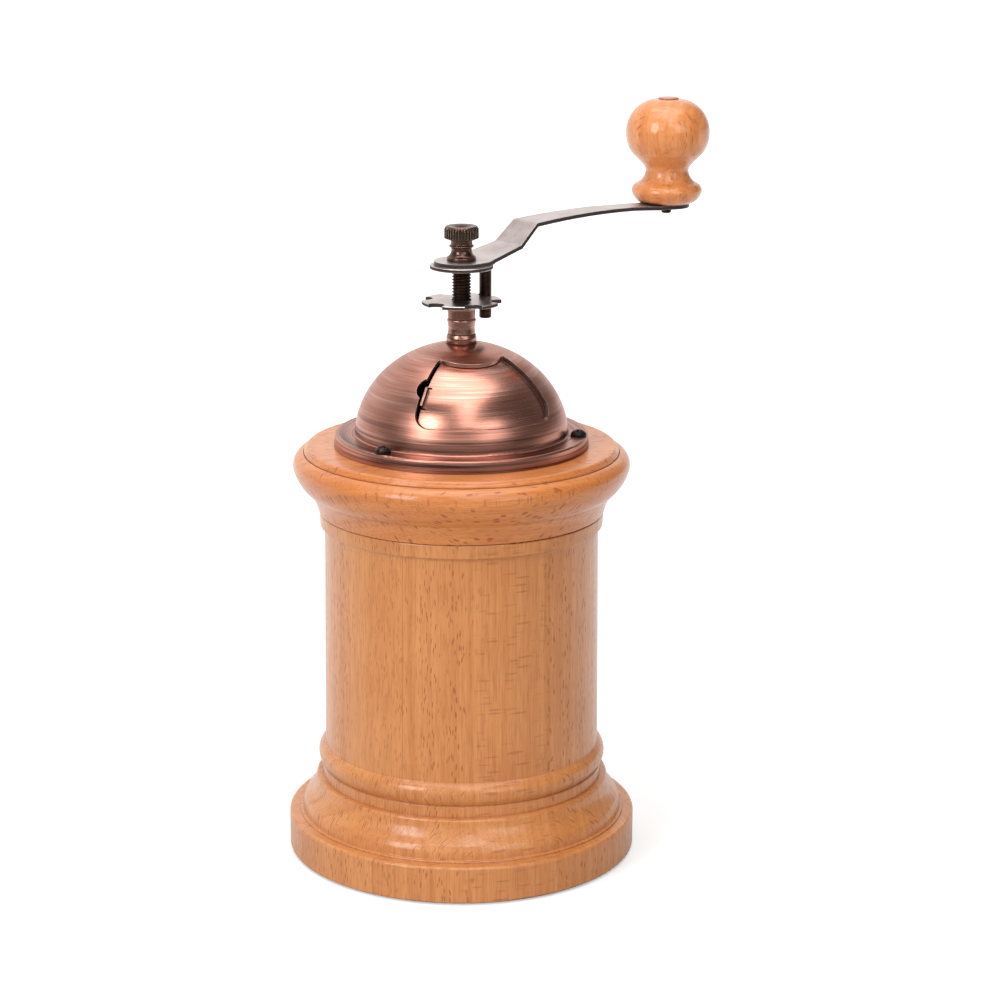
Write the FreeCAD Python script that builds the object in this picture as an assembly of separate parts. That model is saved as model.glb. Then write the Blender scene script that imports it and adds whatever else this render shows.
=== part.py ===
import FreeCAD, Part
import math
import os

# Column coffee mill. Millimetres, +Z up, origin at the centre of the underside.
# The filling window faces -Y. Azimuths are degrees from -Y towards +X.
# A turned wooden column receives the grounds. The mill head lifts off it: a wooden collar
# with a copper-coloured dome, a cone burr turning in a ring burr, and a crank on top.

V = FreeCAD.Vector
UP = V(0, 0, 1)
ORIGIN = V(0, 0, 0)
NODE_FOLDER = "parts"

# ---- driving dimensions ----------------------------------------------------------------------

# heights of the main joints between pieces
SEAM_Z = 93.1          # top of the column, where the head lifts off
SEAM_GAP = 0.05        # the collar rests this far above the column
COLLAR_TOP_Z = 110.4
CROWN_Z = 137.25       # flat on top of the dome
STAR_NUT_Z = 143.85    # underside of the star nut
STOPPER_Z = 156.9      # underside of the stopper plate
CRANK_Z = 157.95       # underside of the crank's hub

# wooden column
BASE_R = 46.4
COLUMN_FOOT_R = 36.5
COLUMN_HEAD_R = 36.05
RECEIVER_R = 31.0
RECEIVER_FLOOR_Z = 6.5
FELT_R = 40.0
FELT_THICKNESS = 2.0
FELT_STAND = 0.4       # the felt stands this far out of the plinth

# wooden collar and its spigot
SPIGOT_R = 32.95
SPIGOT_SOCKET_R = 33.0
SPIGOT_Z = 85.0
COLLAR_THROAT_R = 22.0
LEDGE_Z = 88.1         # underside of the collar that the burr carrier is screwed to

# sheet-metal dome
SHEET = 0.8
DOME_R = 28.0
DOME_EQUATOR_Z = 112.5
DOME_RISE = 25.1
FLANGE_R = 33.3
FLANGE_Z = 113.7
SCREW_CIRCLE_R = 30.9
SCREW_AZIMUTHS = (-56.5, 63.5, 183.5)

# filling window and its shutter
WINDOW_HALF_ANGLE = 44.5
WINDOW_SILL_Z = 120.1
WINDOW_HEAD_R = 9.2    # radius of the arc along the window's top edge
WINDOW_HEAD_OFFSET = 4.6   # its centre is this far in front of the axis
FINGER_NOTCH_R = 3.3
FINGER_NOTCH_Z = 129.3
FINGER_NOTCH_AZIMUTH = -40.2
SHUTTER_SHEET = 0.6
SHUTTER_GAP = 0.25
SHUTTER_FROM = -42.6
SHUTTER_TO = 52.0
SHUTTER_EYE_R = 3.5
SHUTTER_EYE_OUTER_R = 6.6
LIP_AZIMUTH = -41.8
LIP_Z = 127.6
LIP_LENGTH = 5.4

# spindle and bearings
SPINDLE_R = 4.0        # lower, driving length
THREAD_R = 2.5         # upper, threaded length
THREAD_PITCH = 0.8
THREAD_DEPTH = 0.45
RUNNING_CLEARANCE = 0.05
BUSHING_R = 3.4
BURR_NUT_THREAD_R = 3.0
TOP_THREAD_R = 1.95
DOUBLE_D_R = 2.4
DOUBLE_D_FLAT = 1.8

# burrs
BURR_BOTTOM_Z = 64.0
BURR_TOP_Z = 81.0
BURR_BAND = 3.0        # height of the fine finishing band
RING_BURR_R = 18.0
FINISHING_GAP = 0.35
CONE_FOOT_R = 13.75
CONE_WAIST_R = 12.95
CONE_TOP_R = 5.6
FINE_TEETH = 30
COARSE_TEETH = 8
CONE_FLUTES = 6
BURR_WASHER = 1.0
BURR_WASHER_R = 7.0
SPRING_WASHER = 0.8

# cast carrier
CARRIER_R = 21.5
CARRIER_BOTTOM_Z = 62.5
CARRIER_TOP_Z = 96.0
CARRIER_THROAT_R = 16.8
CARRIER_FLANGE_R = 28.6
CARRIER_FLANGE = 2.5
CARRIER_SCREW_CIRCLE_R = 25.3
CARRIER_SCREW_AZIMUTHS = (0.0, 120.0, 240.0)
BRIDGE_Z = 90.0
BRIDGE_WIDTH = 7.0

# star nut and its lock
STAR_R = 10.34
STAR_THICKNESS = 1.0
STAR_NOTCHES = 6
NOTCH_R = 2.35
NOTCH_CIRCLE_R = 10.0
POST_R = 1.6
POST_CIRCLE_R = 9.3
POST_AZIMUTH = 121.5
POST_END_Z = 142.7
STOPPER_R = 8.2
STOPPER_THICKNESS = 1.0

# crank and knob
CRANK_AZIMUTH = 111.5
CRANK_LENGTH = 70.8
CRANK_HUB_R = 7.1
CRANK_END_R = 6.2
CRANK_HALF_WIDTHS = ((1.5, 6.9), (14.0, 5.45), (22.0, 4.8), (56.0, 3.6), (67.3, 5.1))
CRANK_THICKNESS = 1.0
KNOB_Z = 167.5
KNOB_GAP = 0.15
KNOB_TOP_Z = 195.5
KNOB_SOCKET_Z = 188.9
KNOB_BORE_R = 2.1
KNOB_PIN_R = 2.05
PLUG_R = 2.75


# ---- drawing helpers -------------------------------------------------------------------------

class Outline:
    """A closed outline in the plane y = 0, drawn from point to point with lines and arcs."""

    def __init__(self, x, z):
        self.first = V(x, 0, z)
        self.here = self.first
        self.edges = []

    def line(self, x, z):
        there = V(x, 0, z)
        self.edges.append(Part.makeLine(self.here, there))
        self.here = there
        return self

    def arc(self, x, z, bulge):
        """An arc that rises by bulge to the left of the straight way there."""
        there = V(x, 0, z)
        way = there - self.here
        left = V(-way.z, 0, way.x).normalize()
        middle = (self.here + there) * 0.5 + left * bulge
        self.edges.append(Part.Arc(self.here, middle, there).toShape())
        self.here = there
        return self

    def dome(self, x, z, half_width, rise, base_z):
        """A stretch of the ellipse centred on the axis at base_z."""
        there = V(x, 0, z)
        curve = Part.Ellipse(V(half_width, 0, base_z), V(0, 0, base_z + rise), V(0, 0, base_z))
        ends = sorted((curve.parameter(self.here), curve.parameter(there)))
        self.edges.append(Part.ArcOfEllipse(curve, ends[0], ends[1]).toShape())
        self.here = there
        return self

    def face(self):
        if (self.here - self.first).Length > 1e-7:
            self.line(self.first.x, self.first.z)
        return Part.Face(Part.Wire(self.edges))

    def turned(self, angle=360.0):
        return self.face().revolve(ORIGIN, UP, angle)


def at_azimuth(shape, azimuth):
    """Turn a shape drawn on the -Y side (azimuth 0) to another azimuth."""
    turned = shape.copy()
    turned.rotate(ORIGIN, UP, azimuth)
    return turned


def from_x_axis(shape, azimuth):
    """Turn a shape drawn along +X (azimuth 90) to another azimuth."""
    return at_azimuth(shape, azimuth - 90.0)


def polar(radius, azimuth, z):
    angle = math.radians(azimuth)
    return V(radius * math.sin(angle), -radius * math.cos(angle), z)


def rod(radius, z_low, z_high, radial=0.0, azimuth=0.0):
    return Part.makeCylinder(radius, z_high - z_low, polar(radial, azimuth, z_low), UP)


def tube(outer, inner, z_low, z_high):
    return rod(outer, z_low, z_high).cut(rod(inner, z_low, z_high))


def block(x_size, y_size, z_low, z_high):
    """A box centred on the axis."""
    return Part.makeBox(x_size, y_size, z_high - z_low, V(-x_size / 2, -y_size / 2, z_low))


def hexagon(across_flats, z_low, z_high):
    corner = across_flats / math.sqrt(3)
    points = [polar(corner, 60.0 * k, z_low) for k in range(7)]
    return Part.Face(Part.makePolygon(points)).extrude(V(0, 0, z_high - z_low))


def ellipse_r(half_width, rise, base_z, z):
    return half_width * math.sqrt(1 - ((z - base_z) / rise) ** 2)


def ellipse_z(half_width, rise, base_z, r):
    return base_z + rise * math.sqrt(1 - (r / half_width) ** 2)


def dome_point(radius, azimuth):
    """A point on the dome's outer surface."""
    return polar(radius, azimuth, ellipse_z(DOME_R, DOME_RISE, DOME_EQUATOR_Z, radius))


def dome_normal(radius, azimuth):
    point = dome_point(radius, azimuth)
    normal = V(point.x / DOME_R ** 2, point.y / DOME_R ** 2, (point.z - DOME_EQUATOR_Z) / DOME_RISE ** 2)
    return normal.normalize()


def save(shape, node):
    shape.exportStep(os.path.join(NODE_FOLDER, node + ".step"))


# ---- wooden column with its felt -------------------------------------------------------------

def column_body():
    """Turned plinth and column in one piece, bored from the top to receive the grounds."""
    edge = 0.6
    socket_floor_z = SPIGOT_Z - 0.4
    outline = Outline(0, FELT_THICKNESS)
    outline.line(FELT_R, FELT_THICKNESS).line(FELT_R, FELT_STAND)
    outline.line(BASE_R - edge, FELT_STAND).arc(BASE_R, FELT_STAND + edge, -0.17)
    # plinth edge, shelf and its small step
    outline.line(BASE_R, 9.5).arc(45.6, 10.3, -0.22)
    outline.line(43.6, 10.35).line(43.6, 10.55).arc(43.35, 10.8, -0.08).line(42.9, 10.85)
    # ogee: a short swell, a long cove and a narrow rim
    outline.line(42.8, 11.0).arc(41.9, 14.3, -0.25).arc(39.05, 19.7, 0.55).arc(38.5, 20.3, -0.12)
    # recessed band, groove, bead and the foot of the column
    outline.line(37.4, 20.4).line(37.3, 23.2).line(36.95, 23.5)
    outline.arc(38.3, 27.0, -0.45).arc(36.8, 29.3, -0.3)
    outline.line(COLUMN_FOOT_R, 29.5).line(COLUMN_HEAD_R, 88.4)
    # capital band under the seam
    outline.line(36.05, 88.5).arc(37.2, 89.5, 0.25).line(37.4, SEAM_Z - 0.4)
    outline.arc(37.0, SEAM_Z, -0.1)
    # bore
    outline.line(SPIGOT_SOCKET_R, SEAM_Z).line(SPIGOT_SOCKET_R, socket_floor_z)
    outline.line(RECEIVER_R, socket_floor_z).line(RECEIVER_R, RECEIVER_FLOOR_Z + 3)
    outline.arc(RECEIVER_R - 3, RECEIVER_FLOOR_Z, -0.88).line(0, RECEIVER_FLOOR_Z)
    return outline.turned()


def base_felt():
    return rod(FELT_R - 0.1, 0, FELT_THICKNESS)


# ---- wooden collar ---------------------------------------------------------------------------

def wood_collar():
    """Turned ring: spigot below, fascia and torus outside, funnel recess inside."""
    bottom = SEAM_Z + SEAM_GAP
    outline = Outline(SPIGOT_R - 0.5, SPIGOT_Z)
    outline.line(SPIGOT_R, SPIGOT_Z + 0.5).line(SPIGOT_R, bottom)
    outline.line(37.3, bottom).arc(37.6, bottom + 0.3, -0.09)
    # fascia, fine step, then the swelling torus
    outline.arc(39.7, 98.2, 0.25).line(39.75, 98.4).line(40.1, 98.5)
    outline.arc(44.1, 104.7, -0.6).arc(41.45, 108.75, -1.05)
    # quirk groove and the rounded edge of the top
    outline.line(41.1, 108.4).arc(40.9, 109.6, -0.25).arc(39.9, COLLAR_TOP_Z, -0.22)
    outline.line(27.8, COLLAR_TOP_Z).line(COLLAR_THROAT_R, 98.0).line(COLLAR_THROAT_R, LEDGE_Z)
    outline.line(CARRIER_FLANGE_R + 0.4, LEDGE_Z).line(CARRIER_FLANGE_R + 0.4, SPIGOT_Z)
    collar = outline.turned()
    dome_pilots = [flange_screw_hole(1.3, 102.0, azimuth) for azimuth in SCREW_AZIMUTHS]
    carrier_pilots = [
        rod(1.6, LEDGE_Z, 97.0, CARRIER_SCREW_CIRCLE_R, azimuth) for azimuth in CARRIER_SCREW_AZIMUTHS
    ]
    return collar.cut(dome_pilots + carrier_pilots)


def flange_screw_hole(radius, z_low, azimuth):
    return rod(radius, z_low, FLANGE_Z + 1, SCREW_CIRCLE_R, azimuth)


# ---- dome ------------------------------------------------------------------------------------

def dome_cover():
    """Spun dome on a stepped flange, with a flat crown, the filling window and a finger notch."""
    inner_r = DOME_R - SHEET
    inner_rise = DOME_RISE - SHEET
    root_z = FLANGE_Z + 0.5
    crown_inner_r = 4.0
    outline = Outline(FLANGE_R, COLLAR_TOP_Z)
    outline.line(FLANGE_R - 0.2, FLANGE_Z - 0.6).arc(FLANGE_R - 0.8, FLANGE_Z, -0.18)
    outline.line(DOME_R + 0.5, FLANGE_Z)
    outline.arc(ellipse_r(DOME_R, DOME_RISE, DOME_EQUATOR_Z, root_z), root_z, 0.2)
    outline.dome(
        ellipse_r(DOME_R, DOME_RISE, DOME_EQUATOR_Z, CROWN_Z), CROWN_Z, DOME_R, DOME_RISE, DOME_EQUATOR_Z
    )
    outline.line(BUSHING_R, CROWN_Z)
    # underside, from the crown back to the flange's rim
    crown_inner_z = ellipse_z(inner_r, inner_rise, DOME_EQUATOR_Z, crown_inner_r)
    outline.line(BUSHING_R, crown_inner_z).line(crown_inner_r, crown_inner_z)
    outline.dome(
        ellipse_r(inner_r, inner_rise, DOME_EQUATOR_Z, FLANGE_Z - SHEET),
        FLANGE_Z - SHEET,
        inner_r,
        inner_rise,
        DOME_EQUATOR_Z,
    )
    outline.line(FLANGE_R - 0.2 - SHEET, FLANGE_Z - SHEET).line(FLANGE_R - SHEET, COLLAR_TOP_Z)
    dome = outline.turned()
    screw_holes = [flange_screw_hole(1.5, COLLAR_TOP_Z, azimuth) for azimuth in SCREW_AZIMUTHS]
    return dome.cut([window_cutter(), finger_notch_cutter()] + screw_holes)


def window_cutter():
    """Wedge between two meridians, above the sill and in front of the window's top arc."""
    sill_corner_r = 4.2
    head_corner_r = 0.8
    top_z = CROWN_Z + 3
    inner_r = WINDOW_HEAD_R
    section = Outline(inner_r, WINDOW_SILL_Z)
    section.line(DOME_R + 6, WINDOW_SILL_Z).line(DOME_R + 6, top_z).line(inner_r, top_z)
    wedge = from_x_axis(section.turned(2 * WINDOW_HALF_ANGLE), -WINDOW_HALF_ANGLE)
    sill_edges = [edge for edge in wedge.Edges if is_radial(edge) and edge.CenterOfMass.z < top_z - 1]
    wedge = wedge.makeFillet(sill_corner_r, sill_edges)
    wedge = wedge.cut(rod(WINDOW_HEAD_R, WINDOW_SILL_Z - 1, top_z + 1, WINDOW_HEAD_OFFSET, 0.0))
    head_edges = [edge for edge in wedge.Edges if is_upright(edge) and axis_distance(edge) < 15]
    return wedge.makeFillet(head_corner_r, head_edges)


def is_radial(edge):
    """True for a level straight edge that points at the axis."""
    if len(edge.Vertexes) < 2 or not isinstance(edge.Curve, Part.Line):
        return False
    near, far = [vertex.Point for vertex in edge.Vertexes]
    return abs(near.z - far.z) < 1e-6 and abs(near.x * far.y - near.y * far.x) < 1e-3


def axis_distance(edge):
    return math.hypot(edge.CenterOfMass.x, edge.CenterOfMass.y)


def is_upright(edge):
    return isinstance(edge.Curve, Part.Line) and abs(edge.tangentAt(edge.FirstParameter).z) > 0.999


def finger_notch_cutter():
    """Bore square to the dome that takes a shallow bite out of the window's left edge."""
    radius = ellipse_r(DOME_R, DOME_RISE, DOME_EQUATOR_Z, FINGER_NOTCH_Z)
    normal = dome_normal(radius, FINGER_NOTCH_AZIMUTH)
    start = dome_point(radius, FINGER_NOTCH_AZIMUTH) - normal * 3
    return Part.makeCylinder(FINGER_NOTCH_R, 6, start, normal)


def flange_screws():
    """Three pan-head cross-slot screws: one group of three solids."""
    head_r = 2.1
    head_height = 1.8
    outline = Outline(0, 102.4)
    outline.line(0.5, 102.4).line(1.3, 104.0).line(1.3, FLANGE_Z).line(head_r, FLANGE_Z)
    outline.line(head_r, FLANGE_Z + 0.7).arc(0, FLANGE_Z + head_height, -0.3)
    screw = outline.turned()
    top = FLANGE_Z + head_height
    slots = [block(2.6, 0.6, top - 1.0, top + 0.1), block(0.6, 2.6, top - 1.0, top + 0.1)]
    screw = screw.cut(slots)
    slot_turns = (20.0, 53.0, 86.0)
    screws = []
    for turn, azimuth in zip(slot_turns, SCREW_AZIMUTHS):
        one = screw.copy()
        one.rotate(ORIGIN, UP, turn)
        one.translate(polar(SCREW_CIRCLE_R, azimuth, 0))
        screws.append(one)
    return Part.makeCompound(screws)


# ---- shutter and what holds it ---------------------------------------------------------------

def shutter():
    """Sector of a spherical shell inside the dome, hung on an eye round the bushing."""
    outer_r = DOME_R - SHEET - SHUTTER_GAP
    outer_rise = DOME_RISE - SHEET - SHUTTER_GAP
    inner_r = outer_r - SHUTTER_SHEET
    inner_rise = outer_rise - SHUTTER_SHEET
    foot_z = 117.8
    crown_inner_z = shutter_eye_underside()
    crown_outer_z = crown_inner_z + SHUTTER_SHEET

    outline = Outline(ellipse_r(outer_r, outer_rise, DOME_EQUATOR_Z, foot_z), foot_z)
    join_r = ellipse_r(outer_r, outer_rise, DOME_EQUATOR_Z, crown_outer_z)
    outline.dome(join_r, crown_outer_z, outer_r, outer_rise, DOME_EQUATOR_Z)
    outline.line(SHUTTER_EYE_R, crown_outer_z).line(SHUTTER_EYE_R, crown_inner_z)
    join_r = ellipse_r(inner_r, inner_rise, DOME_EQUATOR_Z, crown_inner_z)
    outline.line(join_r, crown_inner_z)
    outline.dome(
        ellipse_r(inner_r, inner_rise, DOME_EQUATOR_Z, foot_z), foot_z, inner_r, inner_rise, DOME_EQUATOR_Z
    )
    sector = from_x_axis(outline.turned(SHUTTER_TO - SHUTTER_FROM), SHUTTER_FROM)
    eye = tube(SHUTTER_EYE_OUTER_R, SHUTTER_EYE_R, crown_inner_z, crown_outer_z)
    return sector.cut(lip_reliefs()).fuse([eye, finger_lip()]).removeSplitter()


def finger_lip():
    """Lip bent up along the shutter's leading edge, about flush with the dome."""
    depth = SHEET + SHUTTER_GAP + SHUTTER_SHEET
    corner_r = 0.25
    lip = Part.makeBox(SHUTTER_SHEET, LIP_LENGTH, depth, V(-SHUTTER_SHEET / 2, -LIP_LENGTH / 2, 0))
    lip = lip.makeFillet(corner_r, [edge for edge in lip.Edges if is_upright(edge)])
    return on_dome(lip, depth)


def lip_reliefs():
    """Two short slits in the shutter's edge, one at each end of the lip."""
    slit_width = 0.5
    slit_reach = 1.0
    slit_height = 3.0
    slits = []
    for low_end in (-LIP_LENGTH / 2 - slit_width, LIP_LENGTH / 2):
        slit = Part.makeBox(2 * slit_reach, slit_width, slit_height, V(-slit_reach, low_end, 0))
        slits.append(on_dome(slit, slit_height))
    return slits


def on_dome(shape, depth):
    """Stand a shape (x along the dome, y up its meridian, z outwards) at the lip's place."""
    radius = ellipse_r(DOME_R, DOME_RISE, DOME_EQUATOR_Z, LIP_Z)
    normal = dome_normal(radius, LIP_AZIMUTH)
    start = dome_point(radius, LIP_AZIMUTH) - normal * depth
    upright = FreeCAD.Rotation(UP, normal)
    meridian = normal.cross(UP).cross(normal).normalize()
    long_side = upright.multVec(V(0, 1, 0))
    twist = math.degrees(math.atan2(long_side.cross(meridian).dot(normal), long_side.dot(meridian)))
    placed = shape.copy()
    placed.Placement = FreeCAD.Placement(start, FreeCAD.Rotation(normal, twist).multiply(upright))
    return placed


def shutter_washer():
    """Friction washer under the shutter's eye."""
    washer_r = 5.0
    top = shutter_eye_underside() - 0.05
    return tube(washer_r, SHUTTER_EYE_R, top - 0.5, top)


def shutter_eye_underside():
    """The eye is flat: its top meets the shell just inside the eye's rim."""
    outer_r = DOME_R - SHEET - SHUTTER_GAP
    outer_rise = DOME_RISE - SHEET - SHUTTER_GAP
    rim_z = ellipse_z(outer_r, outer_rise, DOME_EQUATOR_Z, SHUTTER_EYE_OUTER_R)
    return rim_z - SHUTTER_SHEET


def upper_bushing():
    """Bearing sleeve through the crown: rounded ring above, threaded tube below."""
    ring_r = 3.95
    ring_top = STAR_NUT_Z - 4.1
    outline = Outline(THREAD_R + RUNNING_CLEARANCE, 128.5)
    outline.line(BUSHING_R - 0.3, 128.5).line(BUSHING_R, 128.8).line(BUSHING_R, CROWN_Z)
    outline.line(ring_r - 0.3, CROWN_Z).arc(ring_r - 0.3, ring_top, -0.3)
    outline.line(THREAD_R + RUNNING_CLEARANCE, ring_top)
    return outline.turned()


def bushing_nut():
    """Ring nut that clamps the bushing to the crown and carries the shutter's washer."""
    across_flats = 11.0
    top = shutter_eye_underside() - 0.6
    low = top - 3.0
    nut = hexagon(across_flats, low, top)
    return nut.cut(rod(BUSHING_R, low - 1, top + 1))


# ---- hopper funnel and burr carrier ----------------------------------------------------------

def hopper_funnel():
    """Sheet funnel: rim under the dome's flange, cone along the collar, mouth in the carrier."""
    rim_z = COLLAR_TOP_Z + SHEET
    outline = Outline(32.2, COLLAR_TOP_Z)
    outline.line(32.2, rim_z).line(26.9, rim_z).line(20.9, 98.2).line(18.6, 96.8).line(18.6, 93.7)
    outline.line(19.4, 93.7).line(19.4, 96.4).line(21.5, 97.7).line(27.5, COLLAR_TOP_Z)
    funnel = outline.turned()
    return funnel.cut([flange_screw_hole(1.5, COLLAR_TOP_Z - 1, azimuth) for azimuth in SCREW_AZIMUTHS])


def burr_carrier():
    """Casting screwed up under the collar: burr seat, flange, throat and guide bridge."""
    funnel_seat_z = 93.6
    flange_z = LEDGE_Z - CARRIER_FLANGE
    flange_fillet = 0.7
    bridge_height = 3.5
    hub_r = 6.5
    hub_height = 6.5
    screw_hole_r = 1.9
    outline = Outline(RING_BURR_R, CARRIER_BOTTOM_Z)
    outline.line(CARRIER_R - 1.0, CARRIER_BOTTOM_Z).line(CARRIER_R, CARRIER_BOTTOM_Z + 1.0)
    outline.line(CARRIER_R, flange_z - flange_fillet).arc(CARRIER_R + flange_fillet, flange_z, 0.2)
    outline.line(CARRIER_FLANGE_R, flange_z).line(CARRIER_FLANGE_R, LEDGE_Z).line(CARRIER_R, LEDGE_Z)
    outline.line(CARRIER_R, CARRIER_TOP_Z).line(19.5, CARRIER_TOP_Z).line(19.5, funnel_seat_z)
    outline.line(CARRIER_THROAT_R, funnel_seat_z).line(CARRIER_THROAT_R, BURR_TOP_Z)
    outline.line(RING_BURR_R, BURR_TOP_Z)
    ring = outline.turned()
    bar = block(2 * CARRIER_THROAT_R + 2, BRIDGE_WIDTH, BRIDGE_Z, BRIDGE_Z + bridge_height)
    hub = rod(hub_r, BRIDGE_Z, BRIDGE_Z + hub_height)
    bore = rod(SPINDLE_R + RUNNING_CLEARANCE, BRIDGE_Z - 1, BRIDGE_Z + hub_height + 1)
    holes = [
        rod(screw_hole_r, flange_z - 1, LEDGE_Z + 1, CARRIER_SCREW_CIRCLE_R, azimuth)
        for azimuth in CARRIER_SCREW_AZIMUTHS
    ]
    return ring.fuse([bar, hub]).cut([bore] + holes).removeSplitter()


def carrier_screws():
    """Three round-head wood screws from below: one group of three solids."""
    head_top = LEDGE_Z - CARRIER_FLANGE
    outline = Outline(0, head_top - 2.2)
    outline.arc(3.0, head_top, -0.6).line(1.6, head_top).line(1.6, 95.0).line(0.4, 96.8).line(0, 96.8)
    screw = outline.turned().cut(block(7, 0.8, head_top - 3, head_top - 1.3))
    screws = []
    for azimuth in CARRIER_SCREW_AZIMUTHS:
        one = screw.copy()
        one.translate(polar(CARRIER_SCREW_CIRCLE_R, azimuth, 0))
        screws.append(one)
    return Part.makeCompound(screws)


# ---- burrs -----------------------------------------------------------------------------------

def tooth_grooves(radius, low, high, count, skew):
    """Round grooves laid on a cone from low (r, z) to high (r, z), twisted by skew degrees."""
    grooves = []
    for k in range(count):
        azimuth = 360.0 * k / count
        start = polar(low[0], azimuth, low[1])
        end = polar(high[0], azimuth + skew, high[1])
        way = end - start
        reach = way.Length * 1.4
        middle = (start + end) * 0.5
        direction = way.normalize()
        grooves.append(Part.makeCylinder(radius, reach, middle - direction * (reach / 2), direction))
    return grooves


def outer_burr():
    """Fixed ring with fine grooves in the finishing band and coarse ones above."""
    band_z = BURR_BOTTOM_Z + BURR_BAND
    foot_r = CONE_FOOT_R + FINISHING_GAP
    waist_r = CONE_WAIST_R + FINISHING_GAP
    mouth_r = 15.6
    outline = Outline(foot_r, BURR_BOTTOM_Z)
    outline.line(RING_BURR_R, BURR_BOTTOM_Z).line(RING_BURR_R, BURR_TOP_Z)
    outline.line(mouth_r, BURR_TOP_Z).line(waist_r, band_z)
    ring = outline.turned()
    fine = tooth_grooves(0.55, (foot_r, BURR_BOTTOM_Z), (waist_r, band_z), FINE_TEETH, 8.0)
    coarse = tooth_grooves(1.6, (waist_r, band_z + 4), (mouth_r, BURR_TOP_Z + 1), COARSE_TEETH, 14.0)
    return ring.cut(fine + coarse)


def inner_burr():
    """Toothed cone: six crushing flutes above, fine grooves in the finishing band."""
    band_z = BURR_BOTTOM_Z + BURR_BAND
    outline = Outline(SPINDLE_R, BURR_BOTTOM_Z)
    outline.line(CONE_FOOT_R, BURR_BOTTOM_Z).line(CONE_WAIST_R, band_z)
    outline.line(CONE_TOP_R, BURR_TOP_Z).line(SPINDLE_R, BURR_TOP_Z)
    cone = outline.turned()
    fine = tooth_grooves(0.6, (CONE_FOOT_R, BURR_BOTTOM_Z), (CONE_WAIST_R, band_z), FINE_TEETH, -8.0)
    flutes = tooth_grooves(2.0, (CONE_WAIST_R, band_z + 2), (7.6, BURR_TOP_Z + 1), CONE_FLUTES, -32.0)
    return cone.cut(fine + flutes + [drive_slot()])


def drive_slot():
    return block(2 * CONE_TOP_R + 2, 2.05, BURR_TOP_Z - 2.4, BURR_TOP_Z + 1)


def drive_pin():
    pin_z = BURR_TOP_Z - 1.3
    return Part.makeCylinder(1.0, 10.6, V(-5.3, 0, pin_z), V(1, 0, 0))


def burr_washer():
    return tube(BURR_WASHER_R, BURR_NUT_THREAD_R, BURR_BOTTOM_Z - BURR_WASHER, BURR_BOTTOM_Z)


def burr_nut():
    across_flats = 10.0
    top = BURR_BOTTOM_Z - BURR_WASHER
    low = top - 5.0
    nut = hexagon(across_flats, low, top)
    corner_trim = Outline(0, low)
    corner_trim.line(4.9, low).line(6.2, low + 0.8).line(6.2, top).line(0, top)
    nut = nut.common(corner_trim.turned())
    return nut.cut(rod(BURR_NUT_THREAD_R, low - 1, top + 1))


def spring_washer():
    return tube(BURR_WASHER_R, SPINDLE_R + 0.1, BURR_TOP_Z, BURR_TOP_Z + SPRING_WASHER)


def burr_spring():
    """Open coil between the washer on the cone and the underside of the guide bridge."""
    wire_r = 0.5
    coil_r = 5.4
    end_gap = 0.05
    low = BURR_TOP_Z + SPRING_WASHER + wire_r + end_gap
    high = BRIDGE_Z - wire_r - end_gap
    turns = 4.0
    helix = Part.makeHelix((high - low) / turns, high - low, coil_r)
    section = Part.Wire(Part.makeCircle(wire_r, V(coil_r, 0, 0), V(0, 1, 0)))
    coil = Part.Wire(helix).makePipeShell([section], True, True)
    coil.translate(V(0, 0, low))
    return coil


# ---- spindle ---------------------------------------------------------------------------------

def spindle():
    """Stepped rod: burr nut's thread, driving length, long upper thread, double flat, top thread."""
    foot_z = BURR_BOTTOM_Z - 7.2
    shoulder_z = BURR_BOTTOM_Z + 0.1
    neck_z = 104.0
    thread_from = STAR_NUT_Z - 1.2
    threads = int((STOPPER_Z - 0.3 - thread_from) / THREAD_PITCH)
    top_z = 165.6
    outline = Outline(0, foot_z)
    outline.line(BURR_NUT_THREAD_R - 0.5, foot_z).line(BURR_NUT_THREAD_R, foot_z + 0.5)
    outline.line(BURR_NUT_THREAD_R, shoulder_z).line(SPINDLE_R, shoulder_z).line(SPINDLE_R, neck_z)
    outline.line(THREAD_R, neck_z + 1.5).line(THREAD_R, thread_from)
    for k in range(threads):
        groove_z = thread_from + k * THREAD_PITCH
        outline.line(THREAD_R - THREAD_DEPTH, groove_z + THREAD_PITCH / 2)
        outline.line(THREAD_R, groove_z + THREAD_PITCH)
    outline.line(THREAD_R, STOPPER_Z).line(DOUBLE_D_R, STOPPER_Z).line(DOUBLE_D_R, CRANK_Z + CRANK_THICKNESS)
    outline.line(TOP_THREAD_R, CRANK_Z + CRANK_THICKNESS).line(TOP_THREAD_R, top_z - 0.4)
    outline.line(TOP_THREAD_R - 0.4, top_z).line(0, top_z)
    rod_body = outline.turned()
    pin_bore = drive_pin()
    return rod_body.cut([pin_bore] + double_d_trims(STOPPER_Z, CRANK_Z + CRANK_THICKNESS))


def double_d_trims(z_low, z_high):
    """What is milled off two sides of the spindle's head, square to the crank."""
    slab_length = 6.0
    slab_depth = 3.0
    trims = []
    for low_side in (DOUBLE_D_FLAT, -DOUBLE_D_FLAT - slab_depth):
        corner = V(-slab_length / 2, low_side, z_low)
        slab = Part.makeBox(slab_length, slab_depth, z_high - z_low, corner)
        trims.append(from_x_axis(slab, CRANK_AZIMUTH))
    return trims


def double_d_hole(z_low, z_high):
    return rod(DOUBLE_D_R, z_low, z_high).cut(double_d_trims(z_low, z_high))


# ---- star nut, thrust collar, stopper --------------------------------------------------------

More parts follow.
